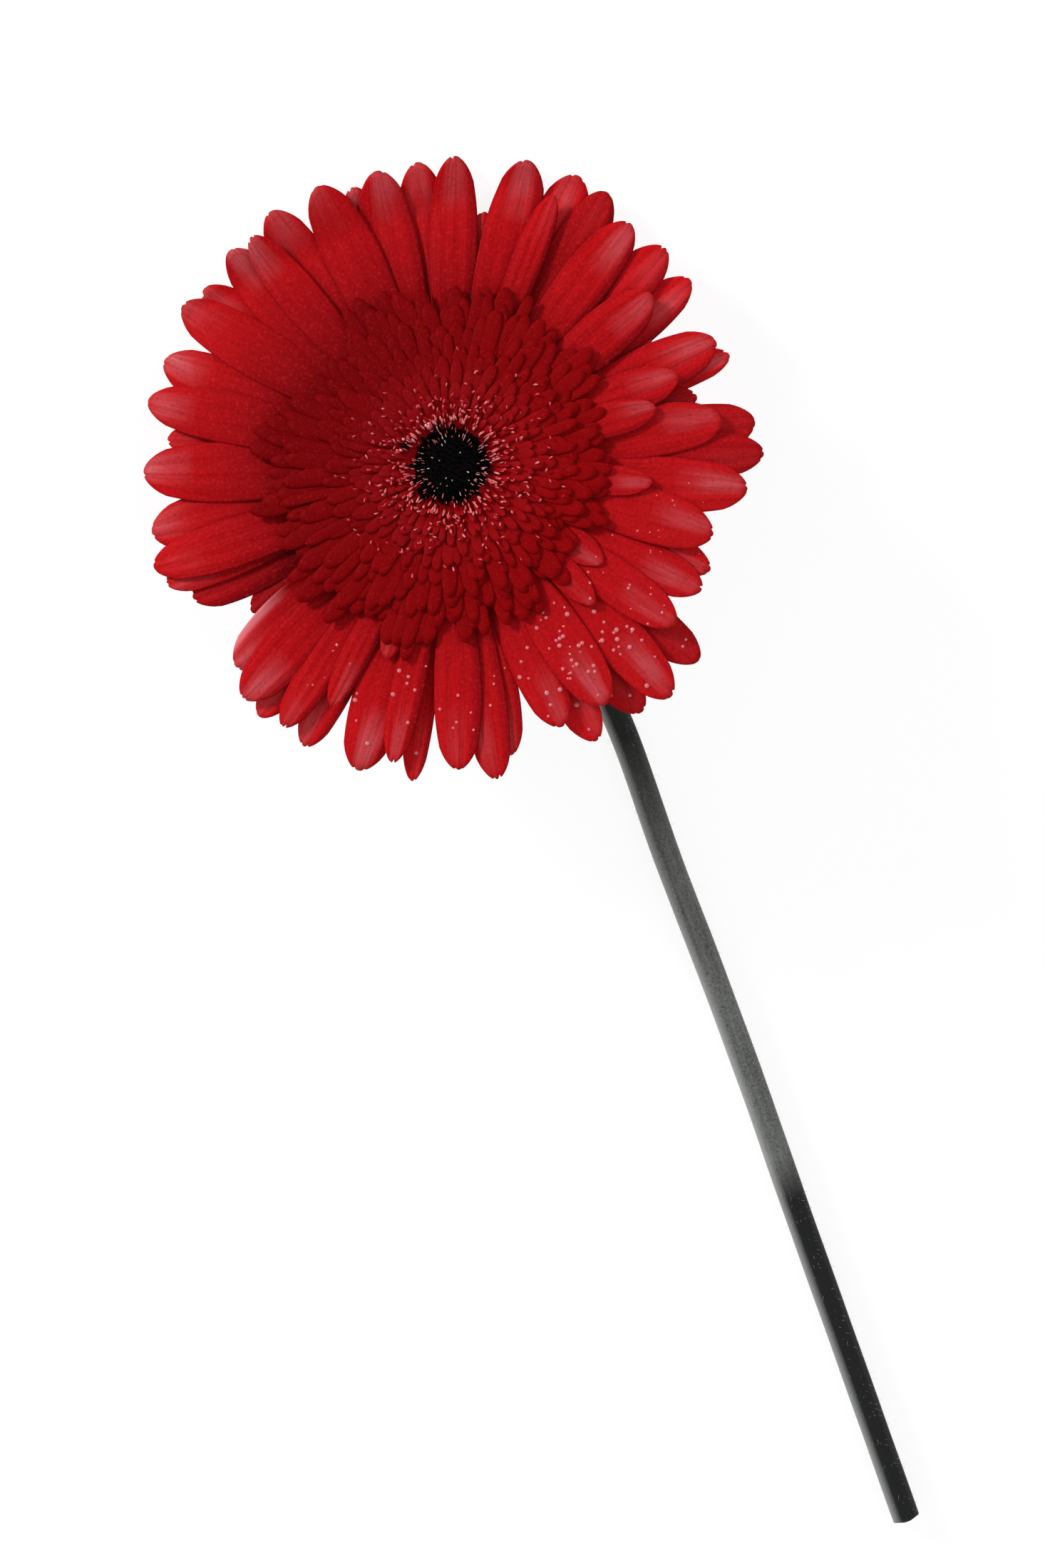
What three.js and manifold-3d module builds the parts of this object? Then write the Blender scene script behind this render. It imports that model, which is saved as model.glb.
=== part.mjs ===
// A cut gerbera laid down on a surface. Millimetres, +Z up, the surface at Z = 0.
// The bloom rests on the tips of its far petals, which the surface presses flat, and
// the bare scape runs from behind it towards -Y and rests along its last stretch.
//
// A place in the bloom is given by a clock angle, a reach and a height: the clock goes
// clockwise as seen from in front of the face, the reach is the distance from the axis
// and the height is measured along the axis, out of the face.

import * as THREE from 'three';
import { mergeVertices } from 'three/addons/utils/BufferGeometryUtils.js';
import Module from 'manifold-3d';

const wasm = await Module();
wasm.setup();

const DEGREES = Math.PI / 180;

// ---- Driving dimensions --------------------------------------------------------------

const CLEARANCE = 0.3; // between one sub-part and the next
const BLADE = 0.6; // thickness of every petal, floret and bract

const HEAD_TILT = 27; // of the bloom's face from level, away from the scape
const HEAD_HEIGHT = 22.0; // of the middle of the face above the surface
const SCAPE_CLOCK = 160; // where the scape runs, seen from in front

const RAY_ROOT = 11.5; // reach at which a ray floret starts, inside the core
const RAY_CORE = { radius: 13.5, bottom: -4.0, top: 1.7 };
const RAY_CREST = 30; // reach at which the ray florets arch highest
const RAY_CREST_HEIGHT = -1.0; // of the backmost ones there
const RAY_LAYER = 0.85; // from one layer to the next
const RAY_DIP = 1.4; // from the crest down to the root
const RAY_USUAL = 54; // reach of most ray florets
const RAY_DROOP = 3.6; // from the crest down to a backmost one's tip
const RAY_DROOP_LESS = 0.5; // for each layer further forward
const RAY_ARCH = 0.3; // from the middle of a ray floret down to its edges
const RAY_LEAN = 0.04; // the most that one leans to a side, as a slope

// [clock angle, reach, width, layer], layer 0 at the back. The order is the clock's.
const RAY_FLORETS = [
  [0.6, 53.8, 8.4, 2], [7.4, 45.0, 7.2, 1], [14, 55.0, 9.6, 2], [20.5, 50.6, 5.6, 3],
  [23.2, 55.8, 9.8, 0], [29.2, 55.4, 8.8, 1], [36, 52.8, 9.0, 2], [44, 53.6, 9.0, 1],
  [49, 45.9, 9.0, 3], [51.5, 53.2, 8.0, 0], [58, 41.4, 7.0, 0], [64.2, 51.1, 9.2, 1],
  [67.6, 52.4, 6.8, 0], [68, 42.4, 7.6, 3], [74, 37.0, 6.2, 4], [73.6, 44.5, 7.6, 0],
  [81, 53.6, 9.6, 0], [80, 47.7, 9.0, 2], [87, 54.5, 8.6, 1], [94, 51.6, 9.6, 2],
  [94.5, 35.0, 5.4, 4], [104.5, 46.9, 9.4, 3], [111.5, 48.4, 7.2, 1], [116, 48.4, 8.2, 2],
  [125, 47.5, 8.0, 3], [122.5, 31.2, 5.6, 4], [127.8, 54.6, 8.4, 0], [136.2, 55.2, 9.0, 2],
  [134, 34.5, 5.2, 4], [142, 53.9, 8.6, 0], [147, 49.2, 9.2, 3], [152, 53.8, 8.0, 0],
  [157, 49.0, 8.4, 2], [168.4, 51.1, 7.2, 1], [171.8, 54.8, 7.6, 2], [178.8, 52.6, 8.4, 3],
  [187.3, 55.0, 5.2, 1], [191.4, 52.4, 5.8, 3], [197.4, 55.2, 9.6, 2], [199, 35.3, 5.2, 4],
  [207, 46.5, 5.2, 3], [208.2, 55.0, 7.4, 0], [213.2, 53.9, 6.8, 2], [218, 54.9, 7.6, 0],
  [222.2, 54.2, 9.2, 2], [227.4, 51.2, 9.4, 1], [234.4, 43.0, 7.6, 0], [243.4, 50.6, 8.8, 0],
  [248, 53.7, 8.0, 1], [251.6, 54.8, 8.6, 2], [258, 53.6, 10.2, 1], [269.2, 53.8, 10.4, 2],
  [276, 50.0, 7.6, 0], [282.4, 54.3, 9.0, 2], [290.4, 53.7, 9.6, 1], [301, 54.8, 9.4, 2],
  [305.8, 53.4, 8.8, 0], [314, 53.8, 9.0, 2], [318.8, 52.8, 7.4, 3], [324.4, 54.2, 9.6, 1],
  [334.4, 53.6, 9.8, 2], [340.4, 51.5, 8.0, 0], [345.7, 52.8, 9.8, 1], [353.6, 53.2, 8.8, 0],
];
// How far along a ray floret, from root to tip, and how wide it is there
const RAY_OUTLINE = [[0, 0.3], [0.25, 0.62], [0.5, 0.92], [0.7, 1], [0.88, 0.84]];
// Its toothed end: how far across, from edge to edge, and how far short of the tip
const RAY_TEETH = [[-0.58, 2.1], [-0.3, 0.3], [-0.06, 0.9], [0.3, 0], [0.58, 1.9]];

// Reach of the dark ring round the clock, every 15 degrees from the top
const RING_REACH = [
  32.0, 33.5, 31.6, 32.5, 29.1, 28.3, 31.0, 29.8, 26.3, 28.5, 31.0, 29.5,
  31.0, 35.1, 33.7, 34.7, 34.1, 35.3, 36.4, 33.7, 30.8, 32.0, 34.1, 31.0,
];
// Rows of trans florets from the outside in: how many, their width, where they start,
// and where they end, as a share of the ring's reach or as a reach of their own
const TRANS_ROWS = [
  { count: 32, width: 4.6, root: [10, 3.7], share: 1, tip: [0, 3.7] },
  { count: 32, width: 4.3, root: [9.5, 4.5], share: 0.89, tip: [0, 4.5] },
  { count: 28, width: 4.0, root: [9, 5.2], share: 0, tip: [23.5, 5.7] },
  { count: 22, width: 3.5, root: [8.4, 5.4], share: 0, tip: [17, 6.8] },
  { count: 16, width: 2.8, root: [7.8, 5.5], share: 0, tip: [11.6, 7.9] },
];
const TRANS_WIDEST = 0.66; // how far along a trans floret is widest
const TRANS_ENDS = { root: 0.4, tip: 0.3 }; // how wide its ends are, as shares of its width
const TRANS_UNEVEN = { clock: 0.6, reach: 0.5 }; // the most that one stands off its place
const EYE_RADIUS = 6.0;
// The dome that the trans florets grow from, with a well for the eye
const DOME = [
  [0, RAY_CORE.top + CLEARANCE], [12.6, RAY_CORE.top + CLEARANCE], [12.6, 4.4], [11, 5.4],
  [9, 6.2], [EYE_RADIUS + CLEARANCE, 6.5], [EYE_RADIUS + CLEARANCE, 4.0], [0, 4.0],
];

const EYE = [
  [0, 4.0 + CLEARANCE], [EYE_RADIUS, 4.0 + CLEARANCE], [EYE_RADIUS, 5.7], [3.6, 6.3], [0, 6.0],
];
const BUDS = { count: 32, foot: 0.55, tip: 0.18, length: 2.0, height: 6.6, within: 5.1 };
const GOLDEN_ANGLE = 137.508; // from one bud to the next

const CUP_DEPTH = 15.6; // from the face down to the foot of the involucre
const CUP_TOP = RAY_CORE.bottom - CLEARANCE;
const CUP = [
  [0, -CUP_DEPTH], [3.2, -CUP_DEPTH], [4.4, -14.6], [8.4, -12.4], [11.6, -9.2],
  [13.2, -6], [13.2, CUP_TOP], [0, CUP_TOP],
];
// How wide a bract is at its root, its bulge and its tip, as shares of its width
const BRACT_OUTLINE = [0.6, 1, 0.2];
// Rows of bracts from the foot up, each by the [reach, height] of its inner face
const BRACT_ROWS = [
  { count: 10, width: 4.8, root: [4.6, -13.4], bulge: [8.6, -13.0], tip: [11.2, -10.9] },
  { count: 13, width: 5.2, root: [8.2, -10.8], bulge: [12.6, -9.2], tip: [14.9, -7.2] },
  { count: 15, width: 5.2, root: [10.8, -7.8], bulge: [14.2, -6.0], tip: [17.3, -3.2] },
];

const SCAPE_SIDES = 12;
const SCAPE_STEPS = 40;
const SCAPE_CROWDING = 1.8; // above 1, the steps are shorter at the neck
// Radius of the scape at shares of its length, from the neck to the cut
const SCAPE_RADII = [[0, 2.3], [0.16, 2.6], [0.5, 2.6], [1, 2.75]];
const CUT_SLANT = 25; // of the cut end, in degrees
const PITH = { radius: 1.1, depth: 6, sides: 8 };
// The scape's middle line from under the involucre to the cut end, before the whole
// flower is centred
const SCAPE_ROUTE = [
  [0.2, -8.5, 6.2], [0.9, -11.4, 4.2], [3.2, -18.5, 3.1], [7.4, -33, 2.9],
  [11.3, -49, 2.8], [13.3, -68, 2.7], [13.5, -98, 2.7], [14.2, -124.5, 2.6],
  [14.6, -151.5, 2.6], [14.6, -179, 2.6], [14.8, -215, 2.6], [15.0, -260, 2.6],
];

// ---- Places --------------------------------------------------------------------------

const tilt = HEAD_TILT * DEGREES;
const outOfFace = new THREE.Vector3(0, Math.sin(tilt), Math.cos(tilt));
const acrossFace = new THREE.Vector3(0, Math.cos(tilt), -Math.sin(tilt));
const sideways = new THREE.Vector3(1, 0, 0);

// The direction across the face at a clock angle
function towards(clock) {
  const turn = (clock - SCAPE_CLOCK - 180) * DEGREES;
  const direction = acrossFace.clone().multiplyScalar(Math.cos(turn));
  return direction.addScaledVector(sideways, Math.sin(turn));
}

function inBloom(clock, reach, height, aside = 0) {
  const place = new THREE.Vector3(0, 0, HEAD_HEIGHT);
  place.addScaledVector(towards(clock), reach);
  place.addScaledVector(towards(clock + 90), aside);
  return place.addScaledVector(outOfFace, height);
}

// What would lie below a level is pushed up to it, along the bloom's axis
function pressed(place, level) {
  if (place.z >= level) {
    return place;
  }
  place.addScaledVector(outOfFace, (level - place.z) / outOfFace.z);
  place.z = level;
  return place;
}

// The same numbers every time, from -1 to 1
function seeded(seed) {
  let state = seed;
  return () => {
    state = (state * 1664525 + 1013904223) % 4294967296;
    return (state / 4294967296) * 2 - 1;
  };
}

// ---- Solids --------------------------------------------------------------------------

function asSolid(geometry) {
  const bare = geometry.clone();
  bare.deleteAttribute('normal');
  bare.deleteAttribute('uv');
  const merged = mergeVertices(bare, 1e-5);
  return new wasm.Manifold(new wasm.Mesh({
    numProp: 3,
    vertProperties: new Float32Array(merged.attributes.position.array),
    triVerts: new Uint32Array(merged.index.array),
  }));
}

function joined(solids) {
  let row = solids;
  while (row.length > 1) {
    const next = [];
    for (let i = 0; i < row.length; i += 2) {
      next.push(i + 1 < row.length ? row[i].add(row[i + 1]) : row[i]);
    }
    row = next;
  }
  return row[0];
}

function asGeometry(solid) {
  const { vertProperties, triVerts } = solid.getMesh();
  const geometry = new THREE.BufferGeometry();
  geometry.setAttribute('position', new THREE.BufferAttribute(new Float32Array(vertProperties), 3));
  geometry.setIndex(new THREE.BufferAttribute(new Uint32Array(triVerts), 1));
  return geometry;
}

function asMesh(places, triangles) {
  const geometry = new THREE.BufferGeometry();
  const numbers = places.flatMap((place) => place.toArray());
  geometry.setAttribute('position', new THREE.Float32BufferAttribute(numbers, 3));
  geometry.setIndex(triangles.flat());
  return geometry;
}

// A thin closed blade. Each row runs from one edge to the other and holds pairs of
// places, [front, back]. Both faces are split into the same triangles.
function blade(rows) {
  const places = [];
  const front = rows.map((row) => row.map(([place]) => places.push(place) - 1));
  const back = rows.map((row) => row.map(([, place]) => places.push(place) - 1));
  const triangles = [];
  const face = (a, b, c) => {
    triangles.push([front[a[0]][a[1]], front[b[0]][b[1]], front[c[0]][c[1]]]);
    triangles.push([back[a[0]][a[1]], back[c[0]][c[1]], back[b[0]][b[1]]]);
  };
  const edge = (a, b) => {
    const [frontA, frontB] = [front[a[0]][a[1]], front[b[0]][b[1]]];
    const [backA, backB] = [back[a[0]][a[1]], back[b[0]][b[1]]];
    triangles.push([frontA, backA, frontB], [frontB, backA, backB]);
  };
  for (let i = 0; i + 1 < rows.length; i += 1) {
    // The row with fewer places fans out to the one with more
    const [near, far] = [rows[i].length - 1, rows[i + 1].length - 1];
    let [j, k] = [0, 0];
    while (j < near || k < far) {
      if (k < far && (j === near || (k + 0.5) / far <= (j + 0.5) / near)) {
        face([i, j], [i + 1, k + 1], [i + 1, k]);
        k += 1;
      } else {
        face([i, j], [i, j + 1], [i + 1, k]);
        j += 1;
      }
    }
    edge([i + 1, 0], [i, 0]);
    edge([i, near], [i + 1, far]);
  }
  const last = rows.length - 1;
  for (let j = 0; j + 1 < rows[0].length; j += 1) {
    edge([0, j], [0, j + 1]);
  }
  for (let k = 0; k + 1 < rows[last].length; k += 1) {
    edge([last, k + 1], [last, k]);
  }
  return asMesh(places, triangles);
}

// A round body on the bloom's axis, from [radius, height] points that start and end on it
function turned(profile, sides) {
  const geometry = new THREE.LatheGeometry(profile.map(([r, h]) => new THREE.Vector2(r, h)), sides);
  const frame = new THREE.Matrix4().makeBasis(towards(90), outOfFace, towards(180));
  frame.setPosition(0, 0, HEAD_HEIGHT);
  return geometry.applyMatrix4(frame);
}

// ---- Ray florets: the bright red petals ----------------------------------------------

function rayHeight(layer, reach) {
  const base = RAY_CREST_HEIGHT + layer * RAY_LAYER;
  if (reach < RAY_CREST) {
    const inwards = (RAY_CREST - reach) / (RAY_CREST - RAY_ROOT);
    return base - RAY_DIP * inwards ** 2;
  }
  const outwards = (reach - RAY_CREST) / (RAY_USUAL - RAY_CREST);
  return base - (RAY_DROOP - RAY_DROOP_LESS * layer) * outwards ** 2;
}

function rayFloret([clock, reach, width, layer], random) {
  const lean = RAY_LEAN * random();
  const place = (across, along) => {
    const aside = (across * width) / 2;
    const height = rayHeight(layer, along) + lean * aside - RAY_ARCH * across ** 2;
    const level = layer * RAY_LAYER;
    const back = pressed(inBloom(clock, along, height, aside), level);
    const front = pressed(inBloom(clock, along, height + BLADE, aside), level + BLADE);
    return [front, back];
  };
  const rows = RAY_OUTLINE.map(([share, wide]) => {
    const along = RAY_ROOT + (reach - RAY_ROOT) * share;
    return [-wide, 0, wide].map((across) => place(across, along));
  });
  rows.push(RAY_TEETH.map(([across, short]) => place(across, reach - short)));
  return blade(rows);
}

function rayFlorets() {
  const random = seeded(11);
  const { radius, bottom, top } = RAY_CORE;
  const core = turned([[0, bottom], [radius, bottom], [radius, top], [0, top]], 24);
  const florets = RAY_FLORETS.map((floret) => rayFloret(floret, random));
  return asGeometry(joined([core, ...florets].map(asSolid)));
}

// ---- Trans florets: the dark ring ----------------------------------------------------

function ringReach(clock) {
  const step = 360 / RING_REACH.length;
  const place = (((clock % 360) + 360) % 360) / step;
  const before = Math.floor(place);
  const after = (before + 1) % RING_REACH.length;
  return THREE.MathUtils.lerp(RING_REACH[before], RING_REACH[after], place - before);
}

function transFloret(clock, width, root, tip) {
  const [run, rise] = [tip[0] - root[0], tip[1] - root[1]];
  const thick = (BLADE * Math.hypot(run, rise)) / run;
  const place = (across, share) => {
    const along = root[0] + run * share;
    const height = root[1] + rise * share ** 0.7;
    const aside = (across * width) / 2;
    return [inBloom(clock, along, height + thick, aside), inBloom(clock, along, height, aside)];
  };
  return blade([
    [place(-TRANS_ENDS.root, 0), place(TRANS_ENDS.root, 0)],
    [place(-1, TRANS_WIDEST), place(1, TRANS_WIDEST)],
    [place(-TRANS_ENDS.tip, 1), place(TRANS_ENDS.tip, 1)],
  ]);
}

function transFlorets() {
  const random = seeded(5);
  const florets = TRANS_ROWS.flatMap(({ count, width, root, share, tip }, row) => {
    return Array.from({ length: count }, (_, i) => {
      const clock = ((i + (row % 2) / 2) * 360) / count + TRANS_UNEVEN.clock * random();
      const reach = share ? ringReach(clock) * share : tip[0];
      return transFloret(clock, width, root, [reach + TRANS_UNEVEN.reach * random(), tip[1]]);
    });
  });
  return asGeometry(joined([turned(DOME, 20), ...florets].map(asSolid)));
}

// ---- Disc florets: the black eye -----------------------------------------------------

function discFlorets() {
  const buds = Array.from({ length: BUDS.count }, (_, i) => {
    const reach = BUDS.within * Math.sqrt((i + 0.5) / BUDS.count);
    const bud = new THREE.CylinderGeometry(BUDS.tip, BUDS.foot, BUDS.length, 5);
    const frame = new THREE.Matrix4().makeBasis(towards(90), outOfFace, towards(180));
    frame.setPosition(inBloom(i * GOLDEN_ANGLE, reach, BUDS.height));
    return bud.applyMatrix4(frame);
  });
  return asGeometry(joined([turned(EYE, 18), ...buds].map(asSolid)));
}

// ---- Involucre: the green cup and its bracts -----------------------------------------

function bract(clock, width, { root, bulge, tip }) {
  // Across, the blade follows the round of the cup. It is thick outwards and down
  const place = (across, [reach, height], thick) => {
    const turn = (across * width) / 2 / reach / DEGREES;
    const lift = thick * Math.SQRT1_2;
    return inBloom(clock + turn, reach + lift, height - lift);
  };
  return blade([root, bulge, tip].map((point, i) => {
    const across = [-BRACT_OUTLINE[i], BRACT_OUTLINE[i]];
    return across.map((a) => [place(a, point, 0), place(a, point, BLADE)]);
  }));
}

function involucre() {
  const bracts = BRACT_ROWS.flatMap((row, rank) => {
    return Array.from({ length: row.count }, (_, i) => {
      return bract(((i + (rank % 2) / 2) * 360) / row.count, row.width, row);
    });
  });
  return asGeometry(joined([turned(CUP, 20), ...bracts].map(asSolid)));
}

// ---- Stem: the bare scape ------------------------------------------------------------

function scapeRadius(share) {
  const after = SCAPE_RADII.findIndex(([place]) => place >= share && place > 0);
  const [[from, thin], [to, thick]] = [SCAPE_RADII[after - 1], SCAPE_RADII[after]];
  return THREE.MathUtils.mapLinear(share, from, to, thin, thick);
}

function stem() {
  const top = inBloom(0, 0, -CUP_DEPTH - CLEARANCE);
  const route = [top, ...SCAPE_ROUTE.map(([x, y, z]) => new THREE.Vector3(x, y, z))];
  const line = new THREE.CatmullRomCurve3(route, false, 'centripetal');
  const places = [];
  const triangles = [];
  const slant = Math.tan(CUT_SLANT * DEGREES);
  for (let i = 0; i <= SCAPE_STEPS; i += 1) {
    const share = (i / SCAPE_STEPS) ** SCAPE_CROWDING;
    const middle = line.getPointAt(share);
    const along = i === 0 ? outOfFace.clone().negate() : line.getTangentAt(share);
    const aside = sideways.clone().addScaledVector(along, -sideways.dot(along)).normalize();
    const up = along.clone().cross(aside);
    const radius = scapeRadius(share);
    for (let j = 0; j < SCAPE_SIDES; j += 1) {
      const turn = ((j + 0.5) / SCAPE_SIDES) * 2 * Math.PI;
      const place = middle.clone();
      place.addScaledVector(aside, radius * Math.cos(turn));
      place.addScaledVector(up, radius * Math.sin(turn));
      if (i === SCAPE_STEPS) {
        place.addScaledVector(along, -slant * radius * Math.sin(turn));
      }
      place.z = Math.max(place.z, 0);
      places.push(place);
    }
  }
  const corner = (i, j) => i * SCAPE_SIDES + (j % SCAPE_SIDES);
  for (let i = 0; i < SCAPE_STEPS; i += 1) {
    for (let j = 0; j < SCAPE_SIDES; j += 1) {
      triangles.push([corner(i, j), corner(i, j + 1), corner(i + 1, j)]);
      triangles.push([corner(i, j + 1), corner(i + 1, j + 1), corner(i + 1, j)]);
    }
  }
  places.push(top, line.getPointAt(1));
  const [topMiddle, cutMiddle] = [places.length - 2, places.length - 1];
  for (let j = 0; j < SCAPE_SIDES; j += 1) {
    triangles.push([topMiddle, corner(0, j + 1), corner(0, j)]);
    triangles.push([cutMiddle, corner(SCAPE_STEPS, j), corner(SCAPE_STEPS, j + 1)]);
  }
  const scape = asMesh(places, triangles);

  const end = line.getPointAt(1);
  const pith = new THREE.CylinderGeometry(PITH.radius, PITH.radius, PITH.depth * 2, PITH.sides);
  pith.translate(end.x, end.y, end.z);
  return asGeometry(asSolid(scape).subtract(asSolid(pith)));
}

// ---- The flower ----------------------------------------------------------------------

const parts = [
  ['stem', stem(), { color: '#5d615a', roughness: 0.7 }],
  ['involucre', involucre(), { color: '#565e4e', roughness: 0.75 }],
  ['ray_florets', rayFlorets(), { color: '#c4161f', roughness: 0.5 }],
  ['trans_florets', transFlorets(), { color: '#74060e', roughness: 0.6 }],
  ['disc_florets', discFlorets(), { color: '#0d0a0a', roughness: 0.8 }],
];

// The origin is under the middle of the whole flower
const box = new THREE.Box3();
for (const [, geometry] of parts) {
  geometry.computeBoundingBox();
  box.union(geometry.boundingBox);
}
const middle = box.getCenter(new THREE.Vector3());

const group = new THREE.Group();
for (const [name, geometry, look] of parts) {
  geometry.translate(-middle.x, -middle.y, 0);
  const mesh = new THREE.Mesh(geometry, new THREE.MeshStandardMaterial({ metalness: 0, ...look }));
  mesh.name = name;
  group.add(mesh);
}

export default group;
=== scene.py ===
import math

import bpy
import numpy as np
from mathutils import Matrix


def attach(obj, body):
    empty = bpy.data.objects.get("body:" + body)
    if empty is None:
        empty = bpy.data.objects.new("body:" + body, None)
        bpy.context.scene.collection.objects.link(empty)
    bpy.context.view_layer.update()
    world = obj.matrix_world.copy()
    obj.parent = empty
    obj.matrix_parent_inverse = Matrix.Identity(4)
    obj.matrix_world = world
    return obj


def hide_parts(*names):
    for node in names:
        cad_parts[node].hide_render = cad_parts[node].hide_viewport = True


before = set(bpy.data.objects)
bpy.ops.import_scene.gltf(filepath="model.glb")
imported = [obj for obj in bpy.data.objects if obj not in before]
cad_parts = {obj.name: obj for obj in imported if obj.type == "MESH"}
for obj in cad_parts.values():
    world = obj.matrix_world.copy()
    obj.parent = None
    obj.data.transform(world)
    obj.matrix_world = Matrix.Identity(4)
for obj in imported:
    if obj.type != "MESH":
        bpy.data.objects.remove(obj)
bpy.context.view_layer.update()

# ---------------------------------------------------------------------------------------
# Ray florets: the bright red petals. Each is one strap of thin, soft tissue with two or
# three small teeth at its end, faint creases along it and a painted satin sheen at the tip.
# They stand in layers round the receptacle, and the far ones lie pressed on the surface.
# ---------------------------------------------------------------------------------------

# Lengths are in millimetres until piece_of turns them into metres. A place on the bloom is
# a clock angle, seen from in front, a reach from the bloom's axis and a height along it.
MM = 0.001
HEAD = np.array([1.074, 105.624, 22.0])  # the middle of the face
HEAD_TILT = math.radians(27)
SCAPE_CLOCK = 160  # where the stem runs, clockwise from the top
OUT = np.array([0.0, math.sin(HEAD_TILT), math.cos(HEAD_TILT)])
ACROSS = np.array([0.0, math.cos(HEAD_TILT), -math.sin(HEAD_TILT)])
SIDE = np.array([1.0, 0.0, 0.0])

RAY_COLUMNS, RAY_ROWS = 27, 36  # places across and along each face of a petal
RAY_ROOT = 11.5
RAY_CREST, RAY_CREST_HEIGHT = 30, -1.0
RAY_DROOPED = 54  # the reach at which a petal has its whole droop
RAY_LAYER, RAY_DIP, RAY_DROOP, RAY_DROOP_LESS = 0.85, 1.4, 3.6, 0.5
RAY_THICK = 0.34
RAY_BLUNT = 4.8  # how much shorter a petal is at its edges than in its middle
RAY_WAIST, RAY_WIDEST, RAY_TAPER = 0.3, 0.69, 0.44  # as shares of the width and the length
RAY_SWAY = 0.35  # how far a petal bends to one side
RAY_LIFT, RAY_UNEVEN = 0.14, 0.08
RAY_SPOON, RAY_CREASE, RAY_RIPPLE = 0.2, 0.075, 0.14  # heights across a petal
RAY_TILT = 0.045  # how far a petal leans over on its own length
# (from and to across the petal, deepest) of the notches between the teeth
RAY_NOTCHES = [((-0.4, -0.05), 0.7), ((0.15, 0.45), 0.4)]
NOTCH_WIDE = 0.14
EASE = 0.25  # how softly a petal comes down onto what it lies on
RAY_CORE = [(0, -4.1), (12.9, -4.1), (13.5, -3.4), (13.5, 0.4), (12.9, 1.7), (0, 1.7)]
CORE_SIDES = 72
CURLED, CURL_HEIGHT = 227.4, 1.3  # the clock angle of the petal whose edge curls up
LIT_CLOCK = 296  # the side of the bloom towards the light, where the painted sheen near the tips is strongest
MARKED_REACH = 55  # the reach that the finish counts as 1
SHADOWED_PETALS = (29.2, 73.6, 81, 87, 127.8, 142, 234.4, 243.4)  # the clock angles of the petals painted darker all over, as painted shade

# (clock angle, reach, width, layer), layer 0 at the back
RAY_FLORETS = [
    (0.6, 53.8, 8.4, 2), (7.4, 45.0, 7.2, 1), (14, 55.0, 9.6, 2), (20.5, 50.6, 5.6, 3),
    (23.2, 55.8, 9.8, 0), (29.2, 55.4, 8.8, 1), (36, 52.8, 9.0, 2), (44, 53.6, 9.0, 1),
    (49, 45.9, 9.0, 3), (51.5, 53.2, 8.0, 0), (58, 41.4, 7.0, 0), (64.2, 51.1, 9.2, 1),
    (67.6, 52.4, 6.8, 0), (68, 42.4, 7.6, 3), (74, 37.0, 6.2, 4), (73.6, 44.5, 7.6, 0),
    (81, 53.6, 9.6, 0), (80, 47.7, 9.0, 2), (87, 54.5, 8.6, 1), (94, 51.6, 9.6, 2),
    (94.5, 35.0, 5.4, 4), (104.5, 46.9, 9.4, 3), (111.5, 48.4, 7.2, 1), (116, 48.4, 8.2, 2),
    (125, 47.5, 8.0, 3), (122.5, 31.2, 5.6, 4), (127.8, 54.6, 8.4, 0), (136.2, 55.2, 9.0, 2),
    (134, 34.5, 5.2, 4), (142, 53.9, 8.6, 0), (147, 49.2, 9.2, 3), (152, 53.8, 8.0, 0),
    (157, 49.0, 8.4, 2), (168.4, 51.1, 7.2, 1), (171.8, 54.8, 7.6, 2), (178.8, 52.6, 8.4, 3),
    (187.3, 55.0, 5.2, 1), (191.4, 52.4, 5.8, 3), (197.4, 55.2, 9.6, 2), (199, 35.3, 5.2, 4),
    (207, 46.5, 5.2, 3), (208.2, 55.0, 7.4, 0), (213.2, 53.9, 6.8, 2), (218, 54.9, 7.6, 0),
    (222.2, 54.2, 9.2, 2), (227.4, 51.2, 9.4, 1), (234.4, 43.0, 7.6, 0), (243.4, 50.6, 8.8, 0),
    (248, 53.7, 8.0, 1), (251.6, 54.8, 8.6, 2), (258, 53.6, 10.2, 1), (269.2, 53.8, 10.4, 2),
    (276, 50.0, 7.6, 0), (282.4, 54.3, 9.0, 2), (290.4, 53.7, 9.6, 1), (301, 54.8, 9.4, 2),
    (305.8, 53.4, 8.8, 0), (314, 53.8, 9.0, 2), (318.8, 52.8, 7.4, 3), (324.4, 54.2, 9.6, 1),
    (334.4, 53.6, 9.8, 2), (340.4, 51.5, 8.0, 0), (345.7, 52.8, 9.8, 1), (353.6, 53.2, 8.8, 0),
]


def towards(clock):
    """The direction from the bloom's axis out along a clock angle."""
    turn = np.radians(np.asarray(clock, float) - SCAPE_CLOCK - 180)
    return np.cos(turn)[..., None] * ACROSS + np.sin(turn)[..., None] * SIDE


def in_bloom(clock, reach, height, aside=0.0):
    """Places in the row frame: out along a clock angle, up the bloom's axis and to the side."""
    clock, reach, height, aside = np.broadcast_arrays(clock, reach, height, aside)
    place = HEAD + reach[..., None] * towards(clock) + aside[..., None] * towards(clock + 90)
    return place + height[..., None] * OUT


def pressed(places, level):
    """Eases what would lie under a level up onto it, along the bloom's axis."""
    above = places[..., 2] - level
    eased = np.logaddexp(0, above / EASE) * EASE
    return places + ((eased - above) / OUT[2])[..., None] * OUT


def away_from_light(clock):
    """0 on the side of the bloom towards the light, where the painted sheen is strongest, 1 on the
    opposite side.
    """
    return 0.5 - 0.5 * np.cos(np.radians(clock - LIT_CLOCK))


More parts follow.
